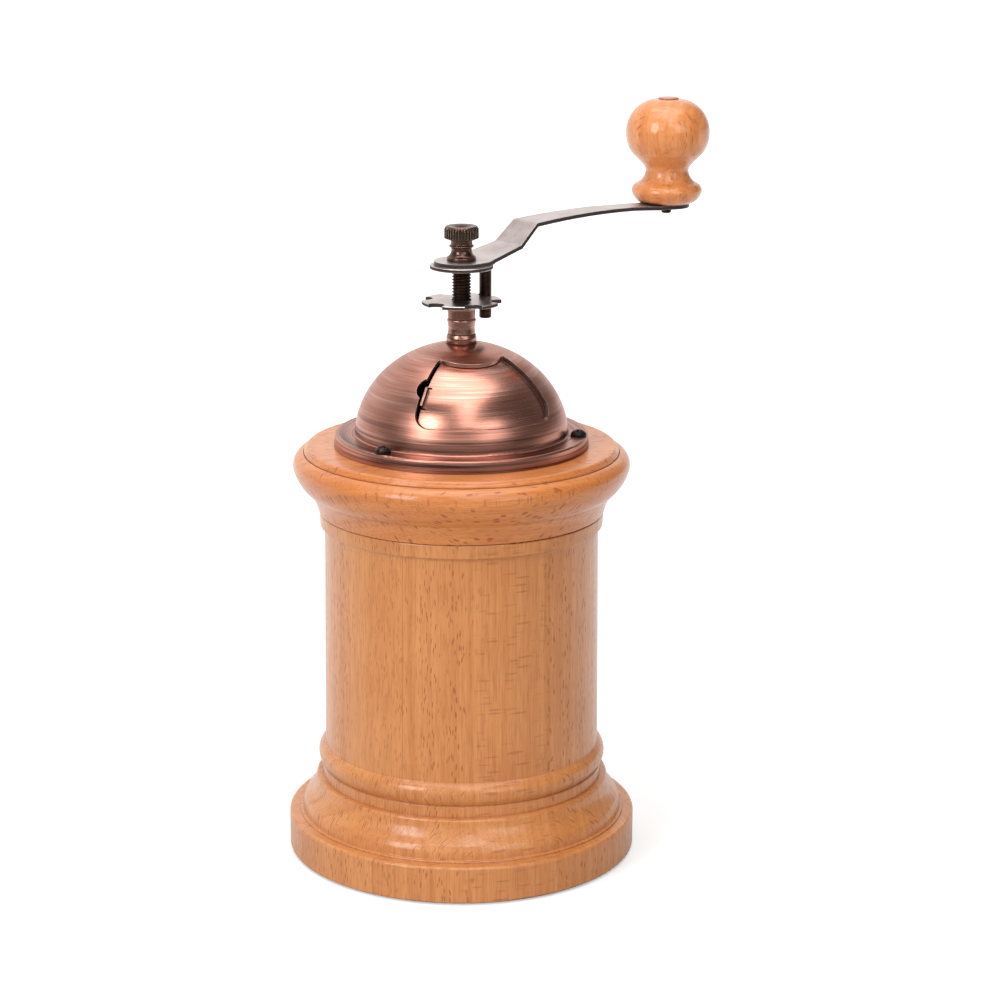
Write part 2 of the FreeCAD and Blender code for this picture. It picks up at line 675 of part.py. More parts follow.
def thrust_collar():
    """Loose sleeve with a slightly waisted barrel."""
    low = STAR_NUT_Z - 4.05
    high = STAR_NUT_Z - 0.05
    inner = THREAD_R + RUNNING_CLEARANCE
    outline = Outline(inner, low)
    outline.line(3.4, low).arc(3.6, low + 0.3, -0.06).line(3.45, low + 1.5)
    outline.arc(3.75, high - 0.5, 0.05).arc(3.45, high, -0.12).line(inner, high)
    return outline.turned()


def star_nut():
    """Conical hub under a thin disc with six wide notches for the stop post."""
    disc_z = STAR_NUT_Z + 3.8
    disc_top = disc_z + STAR_THICKNESS
    edge = 0.18
    outline = Outline(THREAD_R + RUNNING_CLEARANCE, STAR_NUT_Z)
    outline.line(3.3, STAR_NUT_Z).arc(3.5, STAR_NUT_Z + 0.2, -0.05).line(3.55, STAR_NUT_Z + 1.4)
    outline.arc(4.4, disc_z, 0.25)
    outline.line(STAR_R - edge, disc_z).line(STAR_R, disc_z + edge).line(STAR_R, disc_top - edge)
    outline.line(STAR_R - edge, disc_top).line(THREAD_R + RUNNING_CLEARANCE, disc_top)
    nut = outline.turned()
    notches = [
        rod(NOTCH_R, disc_z - 1, disc_top + 1, NOTCH_CIRCLE_R, POST_AZIMUTH + 360.0 * k / STAR_NOTCHES)
        for k in range(STAR_NOTCHES)
    ]
    return nut.cut(notches)


def stopper_plate():
    """Round plate with an ear for the stop post."""
    top = STOPPER_Z + STOPPER_THICKNESS
    edge = 0.15
    outline = Outline(0, STOPPER_Z)
    outline.line(STOPPER_R - edge, STOPPER_Z).line(STOPPER_R, STOPPER_Z + edge)
    outline.line(STOPPER_R, top - edge).line(STOPPER_R - edge, top).line(0, top)
    disc = outline.turned()
    ear = rod(2.5, STOPPER_Z, top, POST_CIRCLE_R, POST_AZIMUTH)
    plate = disc.fuse(ear)
    post_hole = rod(POST_R, STOPPER_Z - 1, top + 1, POST_CIRCLE_R, POST_AZIMUTH)
    return plate.cut([post_hole, double_d_hole(STOPPER_Z - 1, top + 1)]).removeSplitter()


def stop_post():
    """Pin riveted into the stopper plate, reaching through one notch of the star nut."""
    edge = 0.25
    outline = Outline(0, POST_END_Z)
    outline.line(POST_R - edge, POST_END_Z).line(POST_R, POST_END_Z + edge)
    outline.line(POST_R, STOPPER_Z + STOPPER_THICKNESS).line(0, STOPPER_Z + STOPPER_THICKNESS)
    post = outline.turned()
    post.translate(polar(POST_CIRCLE_R, POST_AZIMUTH, 0))
    return post


# ---- crank -----------------------------------------------------------------------------------

def crank_arm():
    """Strip with a double bend: level hub, rise, steep step, then a shallow arch to the knob."""
    top = CRANK_Z + CRANK_THICKNESS
    end_top = KNOB_Z - KNOB_GAP
    far = CRANK_LENGTH + CRANK_END_R + 1
    first_bend = 3.9
    lower_bend = (15.4, 161.9)
    upper_bend = (21.2, 167.1)
    drop = CRANK_THICKNESS
    lean = 0.5 * CRANK_THICKNESS
    arch = 0.9
    side = Outline(-CRANK_HUB_R - 1, CRANK_Z)
    side.line(first_bend + 0.2, CRANK_Z).line(lower_bend[0] + lean, lower_bend[1] - 0.95 * drop)
    side.line(upper_bend[0] + 0.75 * lean, upper_bend[1] - drop)
    side.arc(CRANK_LENGTH - 6, end_top - drop, arch).line(far, end_top - drop)
    side.line(far, end_top).line(CRANK_LENGTH - 6, end_top).arc(upper_bend[0], upper_bend[1], -arch)
    side.line(lower_bend[0], lower_bend[1]).line(first_bend, top).line(-CRANK_HUB_R - 1, top)
    strip = side.face().extrude(V(0, 20, 0))
    strip.translate(V(0, -10, 0))
    strip = soften_bends(strip, (lower_bend, upper_bend))
    plan = crank_plan(CRANK_Z - 2, KNOB_Z + 5)
    arm = strip.common(plan)
    arm = from_x_axis(arm, CRANK_AZIMUTH)
    holes = [double_d_hole(CRANK_Z - 1, top + 1)]
    pin_centre = knob_centre()
    holes.append(Part.makeCylinder(KNOB_PIN_R - 0.55, 8, V(pin_centre.x, pin_centre.y, KNOB_Z - 6), UP))
    return arm.cut(holes)


def soften_bends(strip, bends):
    """Round the creases across the strip."""
    edges = []
    for edge in strip.Edges:
        middle = edge.CenterOfMass
        across = abs(edge.tangentAt(edge.FirstParameter).y) > 0.99
        near_bend = any(math.hypot(middle.x - x, middle.z - z) < 2.0 for x, z in bends)
        if across and near_bend:
            edges.append(edge)
    return strip.makeFillet(0.9, edges)


def crank_plan(z_low, z_high):
    """Plan of the arm along +X: hub circle, tapering neck, parallel strip, round end."""
    corners = [V(x, y, z_low) for x, y in CRANK_HALF_WIDTHS]
    corners += [V(x, -y, z_low) for x, y in reversed(CRANK_HALF_WIDTHS)]
    corners.append(corners[0])
    neck = Part.Face(Part.makePolygon(corners)).extrude(V(0, 0, z_high - z_low))
    hub = Part.makeCylinder(CRANK_HUB_R, z_high - z_low, V(0, 0, z_low), UP)
    end = Part.makeCylinder(CRANK_END_R, z_high - z_low, V(CRANK_LENGTH, 0, z_low), UP)
    return neck.fuse([hub, end]).removeSplitter()


def thumb_nut():
    """Waisted nut: flared foot, thin collar, and a knurled head that is dished on top."""
    foot_z = CRANK_Z + CRANK_THICKNESS
    neck_r = 2.8
    waist_r = 2.65
    head_r = 4.46
    head_z = 164.8
    shoulder_z = 167.0
    top_z = 167.9
    dish_z = 167.1
    thread_end_z = 165.6
    knurls = 36
    knurl_r = 0.32
    outline = Outline(TOP_THREAD_R, foot_z)
    outline.line(3.5, foot_z).arc(3.76, foot_z + 0.4, -0.08).line(3.76, foot_z + 0.9)
    outline.arc(waist_r, foot_z + 2.5, 0.22).line(waist_r, foot_z + 3.2)
    # collar round the neck
    outline.line(3.2, foot_z + 3.65).line(3.2, foot_z + 3.9).line(neck_r, foot_z + 4.2)
    # head
    outline.line(neck_r, head_z - 0.7).line(head_r, head_z).line(head_r, shoulder_z)
    outline.arc(3.9, top_z, -0.12).line(3.6, top_z).arc(1.0, dish_z, -0.2)
    outline.line(0, dish_z).line(0, thread_end_z).line(TOP_THREAD_R, thread_end_z)
    nut = outline.turned()
    grooves = [
        rod(knurl_r, head_z - 1, top_z + 1, head_r + 0.02, 360.0 * k / knurls) for k in range(knurls)
    ]
    return nut.cut(grooves)


# ---- knob ------------------------------------------------------------------------------------

def knob_centre():
    return polar(CRANK_LENGTH, CRANK_AZIMUTH, 0)


def at_knob(shape):
    moved = shape.copy()
    moved.translate(knob_centre())
    return moved


def knob_pin():
    """Shouldered rivet: peened end under the arm, running length and head inside the knob."""
    arm_top = KNOB_Z - KNOB_GAP
    arm_low = arm_top - CRANK_THICKNESS
    head_z = KNOB_SOCKET_Z + 0.1
    neck_r = KNOB_PIN_R - 0.55
    outline = Outline(0, arm_low - 1.7)
    outline.line(1.1, arm_low - 1.7).line(1.3, arm_low - 1.5).line(1.4, arm_low - 0.6)
    outline.line(2.0, arm_low - 0.3).line(2.0, arm_low).line(neck_r, arm_low).line(neck_r, arm_top)
    outline.line(KNOB_PIN_R, arm_top).line(KNOB_PIN_R, head_z).line(2.5, head_z)
    outline.line(2.5, head_z + 1.0).line(0, head_z + 1.0)
    return at_knob(outline.turned())


def knob():
    """Turned grip: foot ring, waist and bulb, bored for its pin."""
    outline = Outline(KNOB_BORE_R, KNOB_Z)
    # foot ring and waist
    outline.line(6.8, KNOB_Z).arc(9.55, 170.8, -0.6).arc(8.3, 172.75, -0.35)
    outline.arc(5.8, 176.3, 0.6).arc(6.9, 178.3, 0.22).line(9.6, 181.0)
    # bulb
    outline.arc(11.3, 186.0, -0.42).arc(9.3, 192.35, -0.62).arc(PLUG_R, KNOB_TOP_Z, -0.8)
    outline.line(PLUG_R, KNOB_SOCKET_Z).line(KNOB_BORE_R, KNOB_SOCKET_Z)
    return at_knob(outline.turned())


def knob_plug():
    """Wooden plug over the pin's head, standing just proud."""
    low = KNOB_SOCKET_Z + 1.4
    proud = 0.4
    outline = Outline(0, low)
    outline.line(PLUG_R, low).line(PLUG_R, KNOB_TOP_Z + proud - 0.2)
    outline.arc(PLUG_R - 0.3, KNOB_TOP_Z + proud, -0.08).line(0, KNOB_TOP_Z + proud)
    return at_knob(outline.turned())


# ---- build every node ------------------------------------------------------------------------

BUILDERS = (
    column_body,
    base_felt,
    wood_collar,
    dome_cover,
    flange_screws,
    shutter,
    shutter_washer,
    upper_bushing,
    bushing_nut,
    hopper_funnel,
    burr_carrier,
    carrier_screws,
    outer_burr,
    inner_burr,
    drive_pin,
    burr_washer,
    burr_nut,
    spring_washer,
    burr_spring,
    spindle,
    thrust_collar,
    star_nut,
    stopper_plate,
    stop_post,
    crank_arm,
    thumb_nut,
    knob_pin,
    knob,
    knob_plug,
)

os.makedirs(NODE_FOLDER, exist_ok=True)
for build in BUILDERS:
    save(build(), build.__name__)
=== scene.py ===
import math
import random

import bpy
from mathutils import Euler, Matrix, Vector


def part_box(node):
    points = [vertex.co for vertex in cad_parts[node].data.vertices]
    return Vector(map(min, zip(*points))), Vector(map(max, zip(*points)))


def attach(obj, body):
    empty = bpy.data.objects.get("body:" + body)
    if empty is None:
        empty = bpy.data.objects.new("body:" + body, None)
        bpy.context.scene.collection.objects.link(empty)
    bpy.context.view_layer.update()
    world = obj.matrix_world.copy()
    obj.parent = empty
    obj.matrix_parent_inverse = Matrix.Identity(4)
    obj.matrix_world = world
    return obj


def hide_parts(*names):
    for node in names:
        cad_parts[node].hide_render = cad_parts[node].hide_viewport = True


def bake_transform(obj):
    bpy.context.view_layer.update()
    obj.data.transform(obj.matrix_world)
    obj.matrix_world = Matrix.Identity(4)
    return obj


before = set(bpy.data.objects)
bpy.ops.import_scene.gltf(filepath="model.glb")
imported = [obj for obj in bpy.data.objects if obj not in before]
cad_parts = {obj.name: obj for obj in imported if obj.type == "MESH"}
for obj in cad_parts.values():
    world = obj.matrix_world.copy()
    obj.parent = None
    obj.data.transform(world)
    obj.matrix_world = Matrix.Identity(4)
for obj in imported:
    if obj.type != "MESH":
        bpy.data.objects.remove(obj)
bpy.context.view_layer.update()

# Column coffee mill. Metres in the scene; textures are measured in millimetres.
# Azimuths are degrees from -Y towards +X, as seen from above.

MM = 0.001


# ---- node graphs -----------------------------------------------------------------------------

class Graph:
    """A material's nodes. Every method returns the output socket of the node it adds."""

    def __init__(self, name):
        self.material = bpy.data.materials.new(name)
        self.material.use_nodes = True
        self.tree = self.material.node_tree
        self.tree.nodes.clear()
        output = self.add("ShaderNodeOutputMaterial")
        self.shader = self.add("ShaderNodeBsdfPrincipled")
        self.tree.links.new(self.shader.outputs["BSDF"], output.inputs["Surface"])

    def add(self, kind, **settings):
        node = self.tree.nodes.new(kind)
        for key, value in settings.items():
            setattr(node, key, value)
        return node

    def put(self, socket, value):
        if isinstance(value, bpy.types.NodeSocket):
            self.tree.links.new(value, socket)
        else:
            socket.default_value = value

    def surface(self, **inputs):
        for key, value in inputs.items():
            self.put(self.shader.inputs[key.replace("_", " ")], value)

    def math(self, operation, *values):
        node = self.add("ShaderNodeMath", operation=operation)
        for socket, value in zip(node.inputs, values):
            self.put(socket, value)
        return node.outputs[0]

    def vector(self, operation, *values):
        node = self.add("ShaderNodeVectorMath", operation=operation)
        for socket, value in zip(node.inputs, values):
            self.put(socket, value)
        scalar = operation in ("DOT_PRODUCT", "LENGTH")
        return node.outputs["Value" if scalar else "Vector"]

    def combine(self, x, y, z):
        node = self.add("ShaderNodeCombineXYZ")
        for socket, value in zip(node.inputs, (x, y, z)):
            self.put(socket, value)
        return node.outputs[0]

    def separate(self, vector):
        node = self.add("ShaderNodeSeparateXYZ")
        self.put(node.inputs[0], vector)
        return node.outputs[0], node.outputs[1], node.outputs[2]

    def position(self, centre=(0.0, 0.0, 0.0)):
        """Place on the piece in millimetres, measured from centre."""
        coords = self.add("ShaderNodeTexCoord").outputs["Object"]
        scaled = self.vector("MULTIPLY", coords, (1 / MM, 1 / MM, 1 / MM))
        return self.vector("SUBTRACT", scaled, centre)

    def noise(self, vector, scale=1.0, detail=2.0, roughness=0.5, w=None):
        node = self.add("ShaderNodeTexNoise", noise_dimensions="3D" if w is None else "4D")
        self.put(node.inputs["Vector"], vector)
        self.put(node.inputs["Scale"], scale)
        self.put(node.inputs["Detail"], detail)
        self.put(node.inputs["Roughness"], roughness)
        if w is not None:
            self.put(node.inputs["W"], w)
        return node.outputs["Fac"]

    def cells(self, vector):
        """Voronoi cells: distance to the cell's point, and the cell's random value."""
        node = self.add("ShaderNodeTexVoronoi")
        self.put(node.inputs["Vector"], vector)
        self.put(node.inputs["Scale"], 1.0)
        self.put(node.inputs["Randomness"], 1.0)
        random_value = self.separate(node.outputs["Color"])[0]
        return node.outputs["Distance"], random_value

    def remap(self, value, low, high, to_low=0.0, to_high=1.0):
        node = self.add("ShaderNodeMapRange", interpolation_type="SMOOTHSTEP")
        for key, number in zip(("Value", "From Min", "From Max", "To Min", "To Max"),
                               (value, low, high, to_low, to_high)):
            self.put(node.inputs[key], number)
        return node.outputs[0]

    def mix(self, factor, a, b, blend="MIX"):
        node = self.add("ShaderNodeMix", data_type="RGBA", blend_type=blend)
        self.put(node.inputs["Factor"], factor)
        self.put(node.inputs[6], colour(a))
        self.put(node.inputs[7], colour(b))
        return node.outputs[2]

    def blend(self, factor, a, b):
        node = self.add("ShaderNodeMix", data_type="FLOAT")
        self.put(node.inputs["Factor"], factor)
        self.put(node.inputs[2], a)
        self.put(node.inputs[3], b)
        return node.outputs[0]

    def bump(self, height, depth, normal=None):
        """Bump whose full height is depth, in millimetres."""
        node = self.add("ShaderNodeBump")
        self.put(node.inputs["Height"], height)
        self.put(node.inputs["Distance"], depth * MM)
        if normal is not None:
            self.put(node.inputs["Normal"], normal)
        return node.outputs[0]

    def corners(self, radius):
        """Normal rounded over radius millimetres at sharp edges, and how far it leans."""
        node = self.add("ShaderNodeBevel", samples=6)
        self.put(node.inputs["Radius"], radius * MM)
        normal = node.outputs[0]
        true_normal = self.add("ShaderNodeNewGeometry").outputs["Normal"]
        lean = self.math("SUBTRACT", 1.0, self.vector("DOT_PRODUCT", normal, true_normal))
        return normal, lean

    def hollows(self, reach):
        """1 in the open, falling to 0 deep in recesses within reach millimetres."""
        node = self.add("ShaderNodeAmbientOcclusion", samples=8)
        self.put(node.inputs["Distance"], reach * MM)
        return node.outputs["AO"]


def colour(value):
    if isinstance(value, tuple) and len(value) == 3:
        return (*value, 1.0)
    return value


def srgb(red, green, blue):
    """Linear colour of an 8-bit screen colour."""
    def linear(channel):
        share = channel / 255
        return share / 12.92 if share <= 0.04045 else ((share + 0.055) / 1.055) ** 2.4
    return tuple(linear(channel) for channel in (red, green, blue))


def direction(azimuth, elevation=0.0):
    a = math.radians(azimuth)
    e = math.radians(elevation)
    return Vector((math.sin(a) * math.cos(e), -math.cos(a) * math.cos(e), math.sin(e)))


# ---- wood ------------------------------------------------------------------------------------

CAMERA_AZIMUTH = -16.5


def board_pattern(graph, across_way, across_a, across_b, along, pith, seed):
    """Beech figure of one board. across_way holds the two directions across the grain, and
    pith is the tree's centre line in their plane.

    Returns growth tone, ray flecks and pore lines, each 0 to 1."""
    a = graph.math("SUBTRACT", across_a, pith[0])
    b = graph.math("SUBTRACT", across_b, pith[1])
    slow_along = graph.math("MULTIPLY", along, 0.25)
    wander = graph.noise(graph.combine(across_a, across_b, slow_along), 0.045, 2.0)
    wander = graph.math("MULTIPLY", graph.math("SUBTRACT", wander, 0.5), 2.5)
    radius = graph.math("ADD", graph.vector("LENGTH", graph.combine(a, b, 0.0)), wander)
    distance = math.hypot(*pith)
    # the rays fan out from the pith; measured as arc length at the mill's axis
    turn = graph.math("ARCTAN2", b, a)
    drift = graph.noise(graph.combine(across_a, across_b, graph.math("MULTIPLY", along, 0.6)), 0.06, 2.0)
    sideways = graph.math("ADD", graph.math("MULTIPLY", turn, distance), graph.math("MULTIPLY", drift, 3.0))

    rings = graph.noise(graph.combine(graph.math("MULTIPLY", radius, 0.55), seed, seed), 1.0, 3.0, 0.6)
    growth = graph.remap(rings, 0.3, 0.7)

    def ray_cells(outward_per_mm, sideways_per_mm, along_per_mm):
        place = graph.combine(
            graph.math("MULTIPLY", radius, outward_per_mm),
            graph.math("MULTIPLY", sideways, sideways_per_mm),
            graph.math("ADD", graph.math("MULTIPLY", along, along_per_mm), seed),
        )
        near, pick = graph.cells(place)
        return graph.math("MULTIPLY", graph.remap(near, 0.2, 0.36, 1.0, 0.0), graph.remap(pick, 0.1, 0.7))

    # dashes where the surface cuts across the rays, level bars where it follows them
    dashes = ray_cells(0.16, 2.7, 0.32)
    bars = ray_cells(0.12, 0.7, 1.0)
    surface = graph.add("ShaderNodeNewGeometry").outputs["Normal"]
    outward = graph.vector("NORMALIZE", graph.vector("ADD", graph.vector("MULTIPLY", across_way[0], a),
                                                     graph.vector("MULTIPLY", across_way[1], b)))
    facing = graph.math("ABSOLUTE", graph.vector("DOT_PRODUCT", surface, outward))
    flecks = graph.blend(graph.remap(facing, 0.12, 0.4), graph.math("MULTIPLY", bars, 0.55), dashes)

    pore_point = graph.combine(
        graph.math("MULTIPLY", across_a, 2.6),
        graph.math("MULTIPLY", across_b, 2.6),
        graph.math("ADD", graph.math("MULTIPLY", along, 0.13), seed),
    )
    pores = graph.remap(graph.noise(pore_point, 1.0, 3.0, 0.65), 0.44, 0.66)
    return growth, flecks, pores


def beech(name, palette, grain, boards, gloss, seam=None):
    """Lacquered beech. grain gives the two directions across the grain and the one along it."""
    graph = Graph(name)
    point = graph.position()
    across_a, across_b, along = (graph.vector("DOT_PRODUCT", point, tuple(axis)) for axis in grain)
    across_way = (tuple(grain[0]), tuple(grain[1]))
    growth, flecks, pores = board_pattern(graph, across_way, across_a, across_b, along, boards[0], 3.1)
    tone_shift = 0.5
    glue = 0.0
    if seam is not None:
        normal, offset = seam
        side = graph.math("SUBTRACT", graph.vector("DOT_PRODUCT", point, tuple(normal)), offset)
        other = graph.remap(side, -0.02, 0.02)
        second = board_pattern(graph, across_way, across_a, across_b, along, boards[1], 17.7)
        growth = graph.blend(other, second[0], growth)
        flecks = graph.blend(other, second[1], flecks)
        pores = graph.blend(other, second[2], pores)
        tone_shift = graph.blend(other, 0.3, 0.62)
        glue = graph.remap(graph.math("ABSOLUTE", side), 0.05, 0.22, 1.0, 0.0)

    clouds = graph.noise(point, 0.05, 3.0, 0.6)
    tone = graph.math("MULTIPLY_ADD", growth, 0.4, graph.math("MULTIPLY", clouds, 0.6))
    tone = graph.math("ADD", tone, graph.math("MULTIPLY", tone_shift, 0.2))
    body = graph.mix(graph.remap(tone, 0.2, 0.95), palette["light"], palette["deep"])
    body = graph.mix(graph.math("MULTIPLY", pores, 0.42), body, palette["pore"])
    body = graph.mix(graph.math("MULTIPLY", flecks, 0.75), body, palette["fleck"])
    body = graph.mix(graph.math("MULTIPLY", glue, 0.5), body, palette["pore"])
    # painted shade: the AO node darkens the wood towards the palette's darkest colour in recesses and under
    # overhangs, where shade falls
    recess = graph.remap(graph.hollows(1.2), 0.2, 0.8, 1.0, 0.0)
    body = graph.mix(graph.math("MULTIPLY", recess, 0.85), body, palette["painted_shade"])

    figure = graph.math("ADD", graph.math("MULTIPLY", pores, 0.6), graph.math("MULTIPLY", flecks, 0.4))
    rounded = graph.corners(0.25)[0]
    rough = graph.math("MULTIPLY_ADD", figure, 0.12, gloss)
    graph.surface(
        Base_Color=body,
        Roughness=rough,
        Normal=graph.bump(graph.math("SUBTRACT", 1.0, figure), 0.03, rounded),
        Coat_Weight=0.5,
        Coat_Roughness=0.16,
        Coat_Normal=rounded,
        Specular_IOR_Level=0.45,
    )
    return graph.material


# The darkest colour of each wood palette is painted shade, laid into recesses.
WOOD_PALE = {
    "light": srgb(219, 149, 88),
    "deep": srgb(199, 123, 64),
    "pore": srgb(170, 97, 48),
    "fleck": srgb(150, 80, 40),
    "painted_shade": srgb(108, 54, 26),
}
WOOD_ORANGE = {
    "light": srgb(222, 142, 76),
    "deep": srgb(201, 117, 56),
    "pore": srgb(168, 86, 38),
    "fleck": srgb(146, 68, 36),
    "painted_shade": srgb(104, 46, 22),
}
WOOD_KNOB = {
    "light": srgb(238, 160, 98),
    "deep": srgb(216, 132, 72),
    "pore": srgb(182, 98, 46),
    "fleck": srgb(160, 78, 34),
    "painted_shade": srgb(104, 46, 20),
}
WOOD_PLUG = {
    "light": srgb(206, 128, 78),
    "deep": srgb(180, 104, 60),
    "pore": srgb(140, 74, 40),
    "fleck": srgb(130, 66, 36),
    "painted_shade": srgb(90, 40, 20),
}

X_AXIS = Vector((1, 0, 0))
Y_AXIS = Vector((0, 1, 0))
UP = Vector((0, 0, 1))


def pith_at(azimuth, distance):
    """Where the tree's centre line runs, beside a piece whose grain is upright."""
    place = direction(azimuth) * distance
    return (place.x, place.y)


def upright_grain():
    return X_AXIS, Y_AXIS, UP


def level_grain(azimuth):
    """Grain running level, square to azimuth."""
    outward = direction(azimuth)
    return outward, UP, outward.cross(UP)


# ---- metal -----------------------------------------------------------------------------------

# The brightest colour of each metal palette is for corners: rubbed wear, with a painted highlight.
COPPER = {
    "dark": srgb(140, 92, 76),
    "mid": srgb(194, 134, 116),
    "light": srgb(226, 182, 168),
    "patina": srgb(30, 20, 18),
    "wear_and_highlight": srgb(250, 214, 196),
}
ROSE_STEEL = {
    "dark": srgb(176, 158, 154),
    "mid": srgb(210, 194, 190),
    "light": srgb(232, 220, 216),
    "patina": srgb(24, 18, 18),
    "wear_and_highlight": srgb(250, 240, 234),
    "hub": srgb(136, 94, 80),
}
# Darker copy of COPPER for the neck: partly the neck's own bronze tone, partly painted shade for the dark
# floor and room that the neck reflects.
NECK_COPPER_WITH_PAINTED_SHADE = {
    "dark": srgb(104, 68, 58),
    "mid": srgb(166, 122, 108),
    "light": srgb(206, 168, 154),
    "patina": srgb(22, 14, 12),
    "wear_and_highlight": srgb(240, 208, 190),
}
BRONZE = {
    "dark": srgb(70, 48, 42),
    "mid": srgb(104, 78, 68),
    "light": srgb(150, 122, 106),
    "patina": srgb(18, 12, 11),
    "wear_and_highlight": srgb(240, 220, 190),
}
BLACKENED = {
    "dark": srgb(38, 26, 22),
    "mid": srgb(58, 42, 36),
    "light": srgb(96, 74, 64),
    "patina": srgb(16, 11, 10),
    "wear_and_highlight": srgb(150, 124, 108),
}
PLAIN = {
    "dark": srgb(140, 140, 142),
    "mid": srgb(176, 176, 178),
    "light": srgb(206, 206, 206),
    "patina": srgb(70, 68, 66),
    "wear_and_highlight": srgb(228, 228, 228),
}
HARDENED = {
    "dark": srgb(92, 92, 96),
    "mid": srgb(128, 128, 132),
    "light": srgb(166, 166, 170),
    "patina": srgb(40, 38, 36),
    "wear_and_highlight": srgb(208, 208, 210),
}


BLACKNESS = 0.94    # share of patina on faces that keep their black; on faces cut across the turning it also stands for painted shade
RECESS_SHARE = 0.92
RECESS_REACH = 1.4  # mm
EDGE_WEAR_AND_HIGHLIGHT = 0.8     # share of bright metal on corners, for rubbed wear and a painted highlight


def turned_metal(name, palette, centre=(0.0, 0.0), roughness=0.3, brushing=1.0, rim_from=None, dark_streak_heights=None):
    """Plated metal finished on a lathe: brushed round its own axis, dark in recesses, bright on its edges
    with wear and a painted highlight.

    Faces cut across the turning are black: partly the black finish they keep, partly painted shade where
    cut edges sit in shadow. So are upright faces beyond the radius rim_from; inside it they take the
    palette's hub colour. The last argument gives the heights between which dark streaks, darker towards the
    bottom, fade out upwards."""
    graph = Graph(name)
    point = graph.position((*centre, 0.0))
    x, y, z = graph.separate(point)
    radius = graph.vector("LENGTH", graph.combine(x, y, 0.0))
    turn = graph.vector("NORMALIZE", graph.combine(x, y, 0.0))
    turn_x, turn_y, _ = graph.separate(turn)

    def streaks(per_mm, round_share, detail):
        vector = graph.combine(
            graph.math("MULTIPLY", radius, per_mm),
            graph.math("MULTIPLY", z, per_mm),
            graph.math("MULTIPLY", turn_x, round_share),
        )
        return graph.noise(vector, 1.0, detail, 0.6, graph.math("MULTIPLY", turn_y, round_share))

    fine = streaks(9.0, 1.6, 3.0)
    middle = streaks(2.4, 0.8, 3.0)
    broad = streaks(0.3, 0.6, 2.0)
    tone = graph.math("MULTIPLY_ADD", fine, 0.5, graph.math("MULTIPLY", middle, 0.6))
    tone = graph.math("MULTIPLY_ADD", broad, 0.7, tone)
    tone = graph.remap(tone, 0.45, 1.35)
    lower = graph.remap(tone, 0.0, 0.5)
    upper = graph.remap(tone, 0.5, 1.0)
    body = graph.mix(upper, graph.mix(lower, palette["dark"], palette["mid"]), palette["light"])
    # Dark streaks low on the piece, fading out upwards between the two given heights: darker towards the
    # bottom.
    if dark_streak_heights is not None:
        heavy = graph.math("MULTIPLY", graph.remap(streaks(1.3, 0.7, 4.0), 0.42, 0.66), 0.8)
        low_down = graph.math("MULTIPLY", graph.remap(z, dark_streak_heights[0], dark_streak_heights[1], 1.0, 0.0), heavy)
        body = graph.mix(low_down, body, palette["patina"])

    normal, lean = graph.corners(0.16)
    true_normal = graph.add("ShaderNodeNewGeometry").outputs["True Normal"]
    # Faces cut across the turning go black: partly the black finish they keep, partly painted shade for cut
    # edges that sit in shadow, such as the dome window's edges beside the shutter's gap.
    round_way = graph.vector("CROSS_PRODUCT", (0.0, 0.0, 1.0), turn)
    across = graph.math("ABSOLUTE", graph.vector("DOT_PRODUCT", true_normal, round_way))
    black = graph.remap(across, 0.3, 0.6, 0.0, BLACKNESS)
    if rim_from is not None:
        level = graph.math("ABSOLUTE", graph.separate(true_normal)[2])
        upright = graph.remap(level, 0.15, 0.5, 1.0, 0.0)
        outer = graph.remap(radius, rim_from - 0.3, rim_from + 0.3)
        hub = graph.math("MULTIPLY", upright, graph.math("SUBTRACT", 1.0, outer))
        body = graph.mix(hub, body, palette["hub"])
        rim = graph.math("MULTIPLY", upright, outer)
        black = graph.math("MAXIMUM", black, graph.math("MULTIPLY", rim, BLACKNESS))
    recess = graph.remap(graph.hollows(RECESS_REACH), 0.3, 0.8, RECESS_SHARE, 0.0)
    black = graph.math("MAXIMUM", black, recess)
    body = graph.mix(black, body, palette["patina"])
    # Painted highlight with real wear: sharp corners are lightened towards the palette's brightest colour,
    # standing in for light glinting along the edges.
    scuff = graph.noise(point, 1.3, 3.0, 0.6)
    edge = graph.math("MULTIPLY", graph.remap(lean, 0.02, 0.16), graph.remap(scuff, 0.2, 0.5))
    edge = graph.math("MULTIPLY", edge, graph.remap(across, 0.3, 0.6, 1.0, 0.15))
    body = graph.mix(graph.math("MULTIPLY", edge, EDGE_WEAR_AND_HIGHLIGHT), body, palette["wear_and_highlight"])

    to_world = graph.add(
        "ShaderNodeVectorTransform", vector_type="VECTOR", convert_from="OBJECT", convert_to="WORLD"
    )
    graph.put(to_world.inputs[0], round_way)
    rough = graph.math("MULTIPLY_ADD", graph.math("SUBTRACT", fine, 0.5), 0.2 * brushing, roughness)
    rough = graph.math("MULTIPLY_ADD", black, 0.2, rough)
    graph.surface(
        Base_Color=body,
        Metallic=graph.math("SUBTRACT", 1.0, black),
        Specular_IOR_Level=0.15,
        Roughness=rough,
        Anisotropic=0.6 * brushing,
        Tangent=to_world.outputs[0],
        Normal=graph.bump(fine, 0.004 * brushing, normal),
    )
    return graph.material


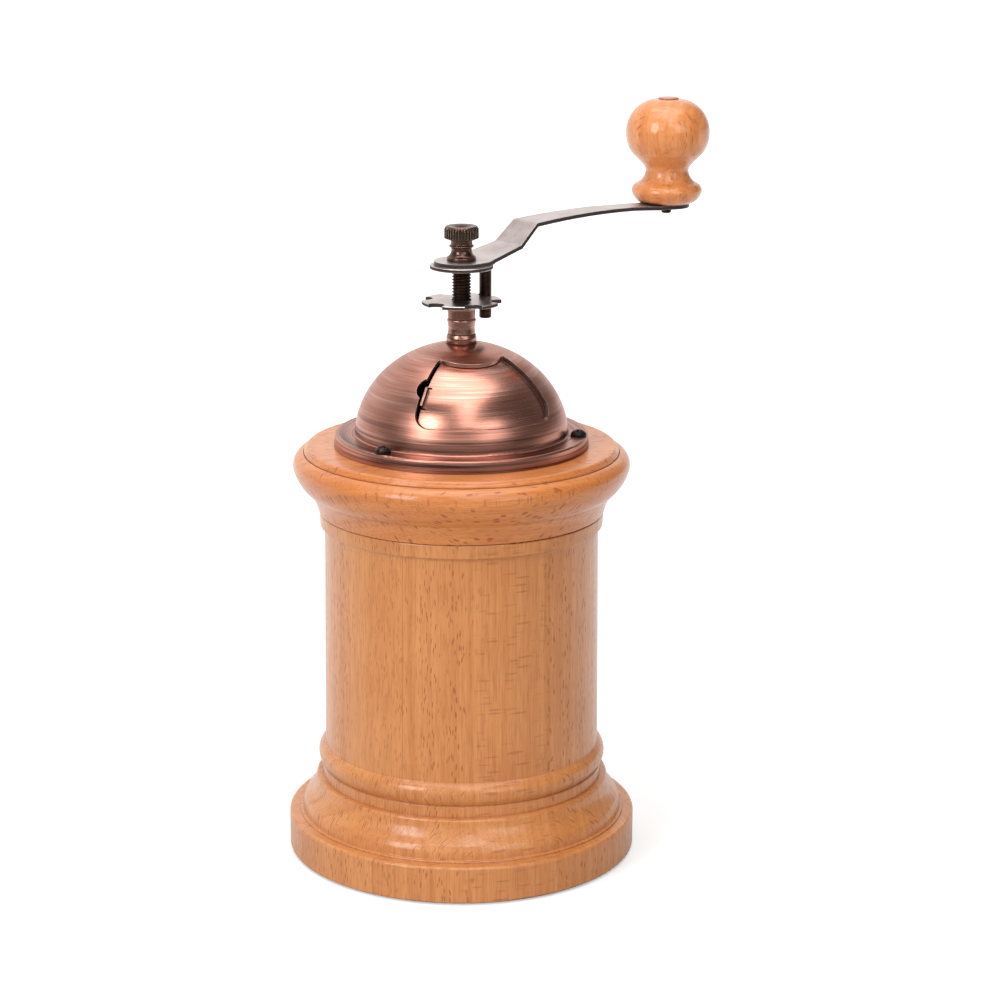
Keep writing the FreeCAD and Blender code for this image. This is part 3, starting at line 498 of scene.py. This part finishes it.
def strip_metal(name, palette, along, roughness=0.34):
    """Plated strip: faint draw lines along its length, blackened edges with a bright corner."""
    graph = Graph(name)
    point = graph.position()
    run = graph.vector("DOT_PRODUCT", point, tuple(along))
    across = graph.vector("DOT_PRODUCT", point, tuple(along.cross(UP)))
    height = graph.separate(point)[2]
    lines = graph.noise(
        graph.combine(graph.math("MULTIPLY", run, 0.12), graph.math("MULTIPLY", across, 3.2), height),
        1.0,
        4.0,
        0.6,
    )
    clouds = graph.noise(point, 0.11, 3.0, 0.6)
    tone = graph.math("MULTIPLY_ADD", lines, 0.5, graph.math("MULTIPLY", clouds, 0.8))
    tone = graph.remap(tone, 0.42, 0.88)
    body = graph.mix(tone, palette["dark"], palette["light"])
    body = graph.mix(0.35, body, palette["mid"])
    normal, lean = graph.corners(0.2)
    true_normal = graph.add("ShaderNodeNewGeometry").outputs["True Normal"]
    # the sheared sides and the underside keep their black; the upper face is brushed bright
    upward = graph.separate(true_normal)[2]
    side = graph.remap(upward, 0.2, 0.45, BLACKNESS, 0.0)
    recess = graph.remap(graph.hollows(RECESS_REACH), 0.3, 0.8, RECESS_SHARE, 0.0)
    black = graph.math("MAXIMUM", side, recess)
    body = graph.mix(black, body, palette["patina"])
    # Painted highlight with real wear: the strip's corners are lightened towards the palette's brightest
    # colour.
    scuff = graph.noise(point, 0.9, 3.0, 0.6)
    edge = graph.math("MULTIPLY", graph.remap(lean, 0.02, 0.16), graph.remap(scuff, 0.2, 0.5))
    body = graph.mix(graph.math("MULTIPLY", edge, EDGE_WEAR_AND_HIGHLIGHT), body, palette["wear_and_highlight"])
    graph.surface(
        Base_Color=body,
        Metallic=graph.math("SUBTRACT", 1.0, black),
        Specular_IOR_Level=0.15,
        Roughness=graph.math("MULTIPLY_ADD", graph.math("SUBTRACT", lines, 0.5), 0.2, roughness),
        Normal=graph.bump(lines, 0.01, normal),
    )
    return graph.material


def casting(name):
    """Rough cast iron under a thin grey paint, rubbed on its edges."""
    graph = Graph(name)
    point = graph.position()
    grit = graph.noise(point, 2.2, 5.0, 0.65)
    stain = graph.noise(point, 0.16, 3.0, 0.6)
    body = graph.mix(graph.remap(stain, 0.3, 0.7), srgb(74, 74, 76), srgb(104, 102, 100))
    body = graph.mix(graph.remap(grit, 0.55, 0.75), body, srgb(52, 50, 49))
    normal, lean = graph.corners(0.5)
    body = graph.mix(graph.remap(lean, 0.05, 0.3), body, srgb(150, 148, 145))
    graph.surface(
        Base_Color=body,
        Metallic=0.5,
        Roughness=graph.remap(grit, 0.2, 0.8, 0.45, 0.75),
        Normal=graph.bump(grit, 0.16, normal),
    )
    return graph.material


def felt(name):
    """Pressed wool felt: matted short fibres with lint."""
    graph = Graph(name)
    point = graph.position()
    warp = graph.noise(point, 0.7, 3.0, 0.6)
    fibres = graph.noise(graph.vector("ADD", point, graph.combine(warp, warp, warp)), 4.5, 5.0, 0.75)
    lint = graph.noise(point, 9.0, 2.0, 0.5)
    body = graph.mix(graph.remap(fibres, 0.3, 0.7), srgb(42, 52, 38), srgb(78, 90, 66))
    body = graph.mix(graph.remap(lint, 0.68, 0.76, 0.0, 0.5), body, srgb(150, 152, 136))
    graph.surface(
        Base_Color=body,
        Roughness=0.95,
        Sheen_Weight=0.5,
        Sheen_Roughness=0.5,
        Normal=graph.bump(fibres, 0.3),
    )
    return graph.material


# ---- pieces whose shape is made here ---------------------------------------------------------

THREAD_PITCH = 0.8
THREAD_DEPTH = 0.45
THREAD_RADIUS = 2.5
THREAD_RUNOUT = 0.8
JOURNAL_RADIUS = 4.0  # in the bearing
BURR_SEAT_RADIUS = 3.0
HUB_RADIUS = 2.4      # inside the stopper plate and crank
STUD_RADIUS = 1.95    # under the thumb nut
STUD_TIP_RADIUS = 1.55
JOURNAL_TOP = 104.0
JOURNAL_CONE_TOP = 105.5
HUB_ABOVE_POST = 1.05
WASHER_PLAY = 0.1
THREAD_STARTS_BELOW_STAR = 1.2
THREAD_STOPS_BELOW_STOPPER = 0.3
FOOT_CHAMFER = 0.5
TIP_CHAMFER = 0.4
THREAD_STEPS_PER_TURN = 10


def mesh_piece(name, verts, faces, material):
    mesh = bpy.data.meshes.new(name)
    mesh.from_pydata(verts, [], faces)
    mesh.validate()
    mesh.update()
    piece = bpy.data.objects.new(name, mesh)
    bpy.context.scene.collection.objects.link(piece)
    mesh.materials.append(material)
    mesh.shade_smooth()
    return piece


def grid_of_revolution(rows, columns, place):
    """Closed skin of rows x columns points, each given by place(row, azimuth), with end caps."""
    verts = []
    for row in range(rows):
        for column in range(columns):
            verts.append(place(row, 2 * math.pi * column / columns))
    faces = []
    for row in range(rows - 1):
        for column in range(columns):
            after = (column + 1) % columns
            low = row * columns
            high = low + columns
            faces.append((low + column, low + after, high + after, high + column))
    faces.append(tuple(reversed(range(columns))))
    faces.append(tuple((rows - 1) * columns + column for column in range(columns)))
    return verts, faces


def spindle_profile(box_low, box_high):
    """Rows (height, plain radius, threaded) of the spindle from foot to tip, in millimetres."""
    foot = box_low / MM
    tip = box_high / MM
    star_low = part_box("star_nut")[0].z / MM
    stopper_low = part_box("stopper_plate")[0].z / MM
    hub_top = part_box("stop_post")[1].z / MM + HUB_ABOVE_POST
    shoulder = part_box("burr_washer")[1].z / MM + WASHER_PLAY
    rows = [
        (foot, THREAD_RADIUS, False),
        (foot + FOOT_CHAMFER, BURR_SEAT_RADIUS, False),
        (shoulder, BURR_SEAT_RADIUS, False),
        (shoulder, JOURNAL_RADIUS, False),
        (JOURNAL_TOP, JOURNAL_RADIUS, False),
        (JOURNAL_CONE_TOP, THREAD_RADIUS, False),
    ]
    thread_from = star_low - THREAD_STARTS_BELOW_STAR
    thread_to = stopper_low - THREAD_STOPS_BELOW_STOPPER
    step = THREAD_PITCH / THREAD_STEPS_PER_TURN
    count = int((thread_to - thread_from) / step)
    rows += [(thread_from + k * step, THREAD_RADIUS, True) for k in range(count + 1)]
    rows += [
        (stopper_low, THREAD_RADIUS, False),
        (stopper_low, HUB_RADIUS, False),
        (hub_top, HUB_RADIUS, False),
        (hub_top, STUD_RADIUS, False),
        (tip - TIP_CHAMFER, STUD_RADIUS, False),
        (tip, STUD_TIP_RADIUS, False),
    ]
    return rows


def cut_spindle(material):
    """The spindle with its thread cut as a true right-handed helix."""
    low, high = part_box("spindle")
    rows = spindle_profile(low.z, high.z)
    first = next(z for z, _, threaded in rows if threaded)
    last = max(z for z, _, threaded in rows if threaded)

    def place(row, azimuth):
        z, radius, threaded = rows[row]
        if threaded:
            phase = (z / THREAD_PITCH - azimuth / (2 * math.pi)) % 1.0
            ramp = min(1.0, (z - first) / THREAD_RUNOUT, (last - z) / THREAD_RUNOUT)
            valley = 1 - abs(2 * phase - 1)
            flank = min(1.0, max(0.0, (valley - 0.1) / 0.8))
            radius -= THREAD_DEPTH * ramp * flank
        return (radius * MM * math.cos(azimuth), radius * MM * math.sin(azimuth), z * MM)

    verts, faces = grid_of_revolution(len(rows), 64, place)
    piece = mesh_piece("spindle_cut_thread", verts, faces, material)
    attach(piece, "crank")
    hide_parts("spindle")


def felt_pad(material):
    """Felt disc with a soft uneven surface and a pressed, rounded edge."""
    low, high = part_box("base_felt")
    outer = high.x / MM
    bottom = low.z / MM
    top = high.z / MM
    rng = random.Random(41)
    columns = 160
    lumps = [(rng.uniform(0, 6.28), rng.randint(3, 19), rng.uniform(0.01, 0.04)) for _ in range(9)]
    edge = ((-0.35, 0.0), (-0.12, 0.12), (-0.02, 0.4), (0.0, 0.8), (-0.02, 1.3), (0.0, 2.0))
    rings = [(share * outer, bottom) for share in (0.03, 0.15, 0.3, 0.45, 0.6, 0.72, 0.84, 0.93)]
    rings += [(outer + dr, bottom + dz) for dr, dz in edge]
    rings += [(share * outer, top) for share in (0.9, 0.6, 0.3, 0.03)]

    def place(row, azimuth):
        radius, z = rings[row]
        wave = sum(size * math.sin(count * azimuth + start + row) for start, count, size in lumps)
        rim = radius > outer - 0.5
        radius = min(radius + (wave * 0.6 - 0.05 if rim else 0.0), outer)
        if z <= bottom:
            z = bottom + max(0.0, wave) * 0.5
        return (radius * MM * math.cos(azimuth), radius * MM * math.sin(azimuth), z * MM)

    verts, faces = grid_of_revolution(len(rings), columns, place)
    piece = mesh_piece("felt_pad", verts, faces, material)
    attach(piece, "receiver")
    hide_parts("base_felt")


def burr_coil(material):
    """Compression spring over the cone, wound to fill the CAD spring's box. In the mill its foot moves with
    the crank and its top with the adjuster; here it is attached to neither.
    """
    low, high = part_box("burr_spring")
    wire_r = 0.5
    turns = 4.0
    steps = 240
    coil_r = high.x / MM - wire_r
    foot_z = low.z / MM + wire_r
    rise = high.z / MM - wire_r - foot_z

    def place(step, azimuth):
        share = step / (steps - 1)
        angle = 2 * math.pi * turns * share
        radius = coil_r + wire_r * math.cos(azimuth)
        z = foot_z + rise * share - wire_r * math.sin(azimuth)
        return (radius * MM * math.cos(angle), radius * MM * math.sin(angle), z * MM)

    verts, faces = grid_of_revolution(steps, 16, place)
    piece = mesh_piece("burr_coil", verts, faces, material)
    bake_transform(piece)
    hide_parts("burr_spring")


# ---- finish every piece ----------------------------------------------------------------------

def dress(node, material):
    """Give a carried-over CAD node its material."""
    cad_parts[node].material_slots[0].material = material


def centre_of(node):
    low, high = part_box(node)
    middle = (low + high) / 2 / MM
    return (middle.x, middle.y)


def dress_wood():
    seam_normal = direction(CAMERA_AZIMUTH + 42.9)
    column = beech(
        "beech_upright",
        WOOD_PALE,
        upright_grain(),
        (pith_at(CAMERA_AZIMUTH - 54.6, 142.0), pith_at(CAMERA_AZIMUTH + 150.0, 110.0)),
        0.4,
        (seam_normal, 13.9),
    )
    collar = beech("beech_level", WOOD_ORANGE, level_grain(CAMERA_AZIMUTH + 12.0), ((60.0, -40.0),), 0.38)
    knob_x, knob_y = centre_of("knob")
    knob = beech("beech_knob", WOOD_KNOB, upright_grain(), ((knob_x - 60.0, knob_y + 40.0),), 0.26)
    plug = beech("beech_plug", WOOD_PLUG, upright_grain(), ((knob_x + 30.0, knob_y + 20.0),), 0.3)
    dress("column_body", column)
    dress("wood_collar", collar)
    dress("knob", knob)
    dress("knob_plug", plug)


def dress_metal():
    flange_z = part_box("hopper_funnel")[1].z / MM
    dress("dome_cover", turned_metal("copper_dome", COPPER, dark_streak_heights=(flange_z + 4.0, flange_z + 12.0)))
    copper = turned_metal("copper_turned", COPPER, roughness=0.26)
    dress("shutter", copper)
    neck = turned_metal("copper_neck_with_painted_shade", NECK_COPPER_WITH_PAINTED_SHADE, roughness=0.26)
    dress("upper_bushing", neck)
    dress("thrust_collar", neck)
    rose = turned_metal("rose_disc", ROSE_STEEL, rim_from=6.0)
    for node in ("star_nut", "stopper_plate"):
        dress(node, rose)
    dress("thumb_nut", turned_metal("bronze_turned", BRONZE, roughness=0.24))
    dress("crank_arm", strip_metal("rose_strip", ROSE_STEEL, direction(111.5)))
    post = turned_metal("blackened_post", BLACKENED, centre_of("stop_post"), roughness=0.32)
    dress("stop_post", post)
    dress("knob_pin", turned_metal("blackened_rivet", BLACKENED, centre_of("knob_pin"), roughness=0.34))
    dress("flange_screws", turned_metal("blackened_screws", BLACKENED, roughness=0.28, brushing=0.4))
    plain = turned_metal("zinc_plated", PLAIN, roughness=0.34)
    for node in ("shutter_washer", "bushing_nut", "hopper_funnel", "carrier_screws", "burr_washer",
                 "burr_nut", "spring_washer", "drive_pin"):
        dress(node, plain)
    burr_coil(plain)
    hardened = turned_metal("burr_ground", HARDENED, roughness=0.36)
    dress("outer_burr", hardened)
    dress("inner_burr", hardened)
    dress("burr_carrier", casting("cast_grey"))


# ---- studio ----------------------------------------------------------------------------------

CAMERA_DISTANCE = 0.6889
CAMERA_HEIGHT = 0.2765
CAMERA_PITCH = 14.75
CAMERA_LENS = 97.34
CAMERA_SHIFT = 0.0385


def camera():
    lens = bpy.data.cameras.new("camera")
    lens.lens = CAMERA_LENS
    lens.sensor_width = 36.0
    lens.shift_x = CAMERA_SHIFT
    lens.clip_start = 0.01
    lens.clip_end = 50.0
    eye = bpy.data.objects.new("camera", lens)
    bpy.context.scene.collection.objects.link(eye)
    eye.location = direction(CAMERA_AZIMUTH) * CAMERA_DISTANCE + UP * CAMERA_HEIGHT
    eye.rotation_euler = Euler((math.radians(90 - CAMERA_PITCH), 0, math.radians(CAMERA_AZIMUTH)))
    bpy.context.scene.camera = eye


def softbox(name, azimuth, elevation, distance, width, height, power):
    """Area light on a sphere round the mill; azimuth is measured from the camera's."""
    lamp = bpy.data.lights.new(name, "AREA")
    lamp.shape = "RECTANGLE"
    lamp.size = width
    lamp.size_y = height
    lamp.energy = power
    box = bpy.data.objects.new(name, lamp)
    bpy.context.scene.collection.objects.link(box)
    target = UP * 0.1
    away = direction(CAMERA_AZIMUTH + azimuth, elevation)
    box.location = target + away * distance
    box.rotation_mode = "QUATERNION"
    box.rotation_quaternion = away.to_track_quat("Z", "Y")


def lights():
    # azimuth, elevation, distance, width, height, power
    softbox("softbox_left", -42.0, 26.0, 1.3, 0.42, 0.7, 8.0)
    softbox("softbox_right", 34.0, 24.0, 1.3, 0.6, 0.6, 3.0)
    softbox("softbox_front", 8.0, 46.0, 1.3, 0.34, 0.7, 2.6)
    softbox("softbox_fill", 5.0, 14.0, 1.3, 1.4, 0.3, 1.1)
    softbox("softbox_top", -20.0, 83.0, 1.2, 1.2, 1.0, 11.0)


ROOM_BRIGHTNESS = 0.1      # behind the camera
BACKDROP_BRIGHTNESS = 1.0  # beyond the mill
FLAG_AZIMUTH = 120.0       # dark flag to the right of the dome, measured from the camera's azimuth
FLAG_ELEVATION = 25.0
FLAG_DEPTH = 0.75          # share of the backdrop's light the flag takes away


def surroundings():
    """White backdrop beyond the mill with a dark flag in it, and a dim room behind the camera."""
    world = bpy.data.worlds.new("studio")
    bpy.context.scene.world = world
    world.use_nodes = True
    tree = world.node_tree
    background = tree.nodes["Background"]
    background.inputs["Color"].default_value = (1.0, 1.0, 1.0, 1.0)
    way = tree.nodes.new("ShaderNodeTexCoord")

    def share_towards(aim, start, full, low, high):
        """A value that runs from low to high as the view direction turns towards aim."""
        along = tree.nodes.new("ShaderNodeVectorMath")
        along.operation = "DOT_PRODUCT"
        along.inputs[1].default_value = aim
        tree.links.new(way.outputs["Generated"], along.inputs[0])
        ramp = tree.nodes.new("ShaderNodeMapRange")
        ramp.interpolation_type = "SMOOTHSTEP"
        tree.links.new(along.outputs["Value"], ramp.inputs["Value"])
        for key, number in (("From Min", start), ("From Max", full), ("To Min", low), ("To Max", high)):
            ramp.inputs[key].default_value = number
        return ramp.outputs[0]

    backdrop = share_towards(-direction(CAMERA_AZIMUTH), -0.3, 0.8, ROOM_BRIGHTNESS, BACKDROP_BRIGHTNESS)
    flag_aim = direction(CAMERA_AZIMUTH + FLAG_AZIMUTH, FLAG_ELEVATION)
    flag = share_towards(flag_aim, 0.78, 0.92, 1.0, 1.0 - FLAG_DEPTH)
    brightness = tree.nodes.new("ShaderNodeMath")
    brightness.operation = "MULTIPLY"
    tree.links.new(backdrop, brightness.inputs[0])
    tree.links.new(flag, brightness.inputs[1])
    tree.links.new(brightness.outputs[0], background.inputs["Strength"])


def floor():
    """Pale table, seen brighter with distance so that it runs out to white.

    The glow shows to the camera, and beyond the mill in reflections; it lights nothing. In
    front of the mill reflections see the floor dark, as under a camera."""
    size = 8.0  # half width in metres
    mesh = bpy.data.meshes.new("floor")
    corners = [(-size, -size, 0.0), (size, -size, 0.0), (size, size, 0.0), (-size, size, 0.0)]
    mesh.from_pydata(corners, [], [(0, 1, 2, 3)])
    plane = bpy.data.objects.new("floor", mesh)
    bpy.context.scene.collection.objects.link(plane)
    graph = Graph("floor_pale")
    point = graph.position()
    away = graph.vector("LENGTH", point)
    glow = graph.remap(away, 80.0, 900.0, 0.45, 0.9)
    ray = graph.add("ShaderNodeLightPath")
    depth = graph.vector("DOT_PRODUCT", point, tuple(-direction(CAMERA_AZIMUTH)))
    beyond = graph.remap(depth, -150.0, 150.0)
    glossy = ray.outputs["Is Glossy Ray"]
    seen = graph.math("MAXIMUM", ray.outputs["Is Camera Ray"], graph.math("MULTIPLY", glossy, beyond))
    in_front = graph.math("MULTIPLY", glossy, graph.math("SUBTRACT", 1.0, beyond))
    pale = graph.mix(graph.noise(point, 0.01, 2.0), (0.6, 0.6, 0.6), (0.62, 0.62, 0.62))
    graph.surface(
        Base_Color=graph.mix(in_front, pale, (0.3, 0.3, 0.3)),
        Roughness=0.8,
        Emission_Color=(1.0, 1.0, 1.0, 1.0),
        Emission_Strength=graph.math("MULTIPLY", seen, glow),
    )
    mesh.materials.append(graph.material)


# ---- scene -----------------------------------------------------------------------------------

dress_wood()
dress_metal()
cut_spindle(turned_metal("blackened_thread", BLACKENED, roughness=0.3))
felt_pad(felt("felt_green"))
floor()
lights()
surroundings()
camera()
bpy.context.scene.view_settings.view_transform = "Standard"
